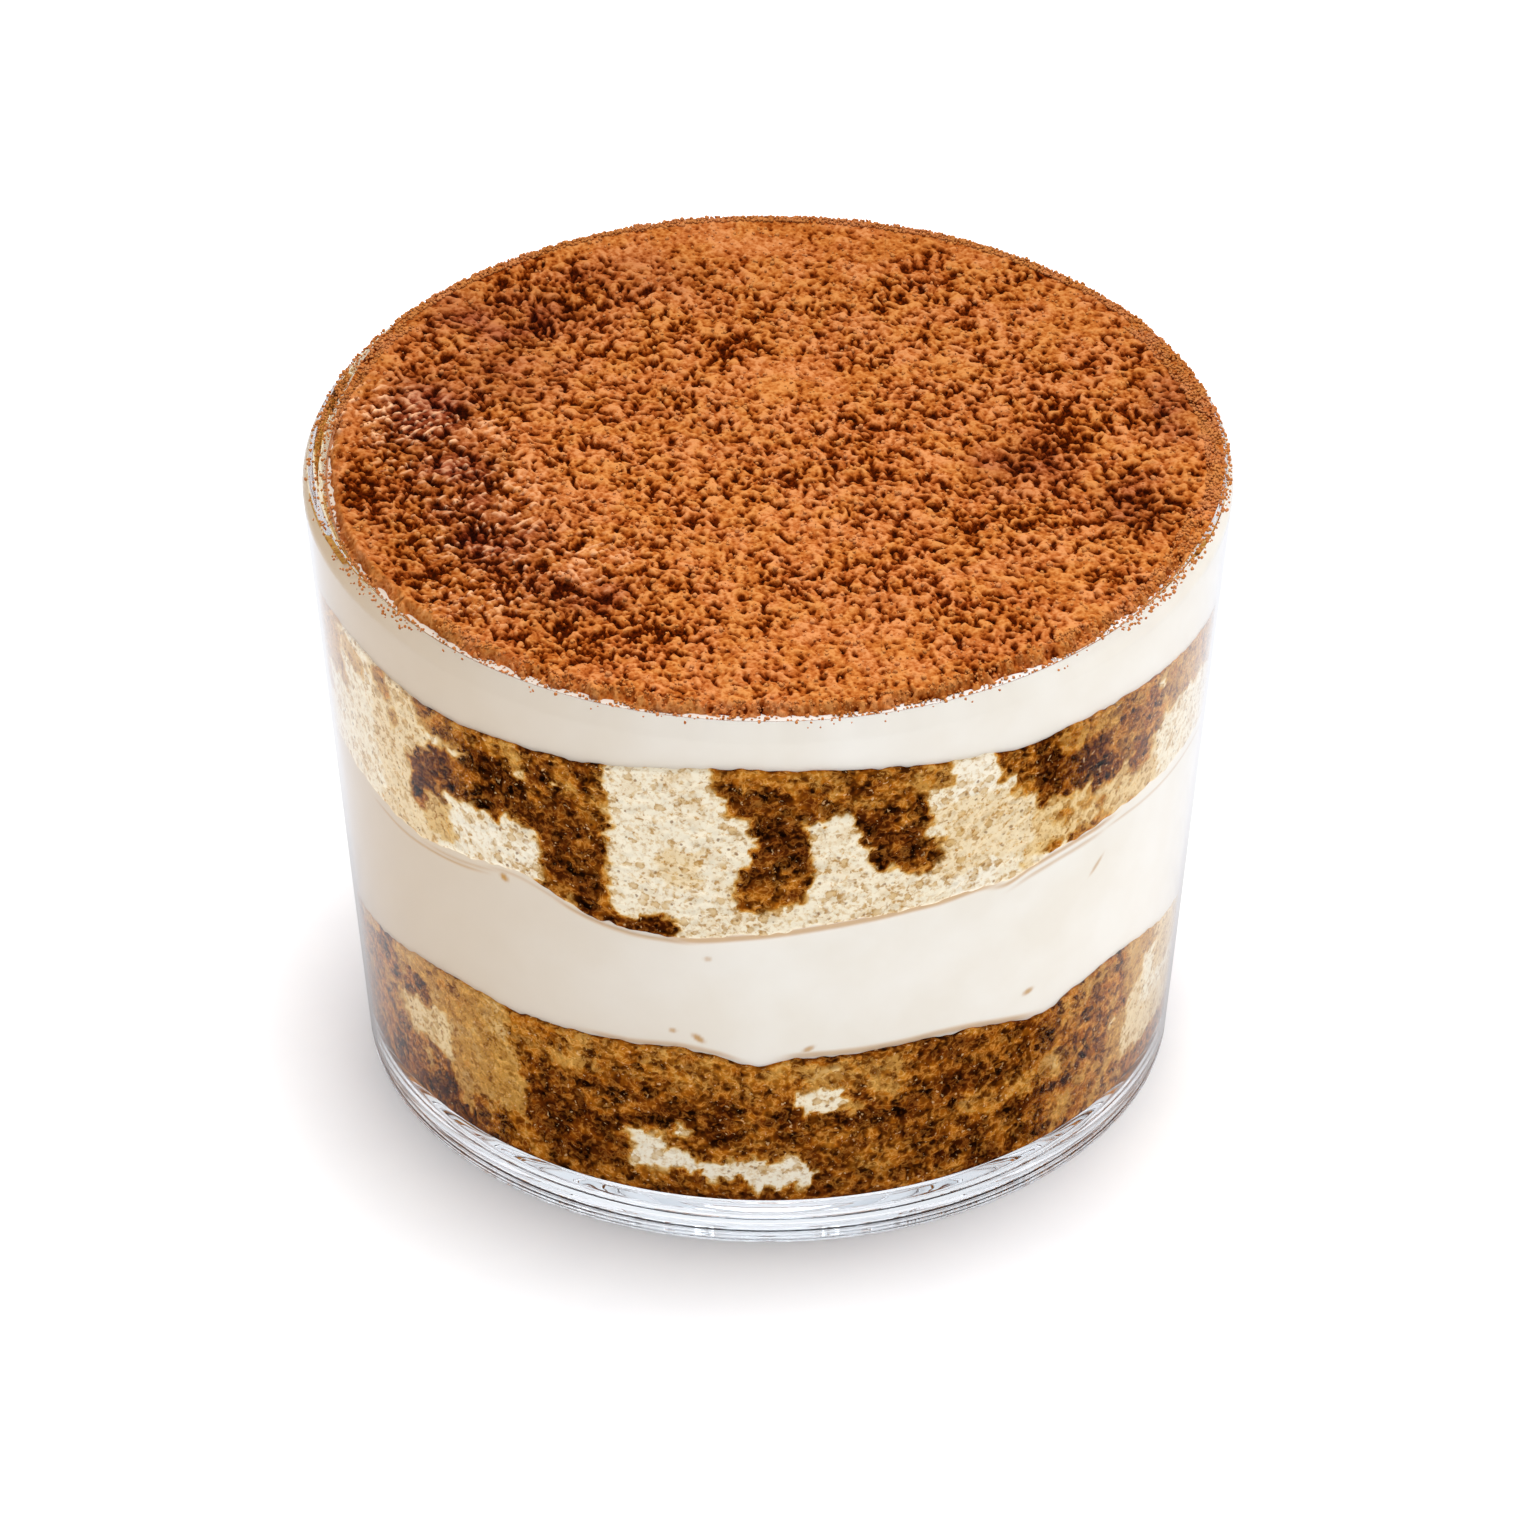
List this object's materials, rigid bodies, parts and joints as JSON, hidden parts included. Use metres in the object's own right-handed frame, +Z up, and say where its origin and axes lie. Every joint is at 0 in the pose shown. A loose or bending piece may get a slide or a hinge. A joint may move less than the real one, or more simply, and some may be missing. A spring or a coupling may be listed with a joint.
{
  "type": "tiramisu in a glass cup",
  "caption": "A tiramisu in a low clear glass cup: soaked sponge and cream in turn, filled to the rim and dusted with cocoa; it stands on a flat foot",
  "frame": {"origin": "centre of the foot of the glass cup, on the surface it stands on", "axes": "+Z up along the cup's axis; -Y is the front, +X is to the right seen from the front; metres"},
  "size_m": [0.084, 0.084, 0.0607],
  "materials": {
    "clear_glass": "clear, polished, smooth",
    "soaked_sponge": "sponge cake soaked with coffee, open crumb, moist brown with pale patches",
    "pale_sponge": "sponge cake, open crumb, pale yellow with coffee-brown patches",
    "cream": "smooth off-white cream, soft sheen",
    "cocoa": "dry cocoa powder in fine crumbs, matt"
  },
  "bodies": {
    "root": {"glass_cup": "clear_glass", "sponge_lower": "soaked_sponge", "cream_lower": "cream", "sponge_upper": "pale_sponge", "cream_upper": "cream", "cocoa_dusting": "cocoa"}
  },
  "joints": []
}
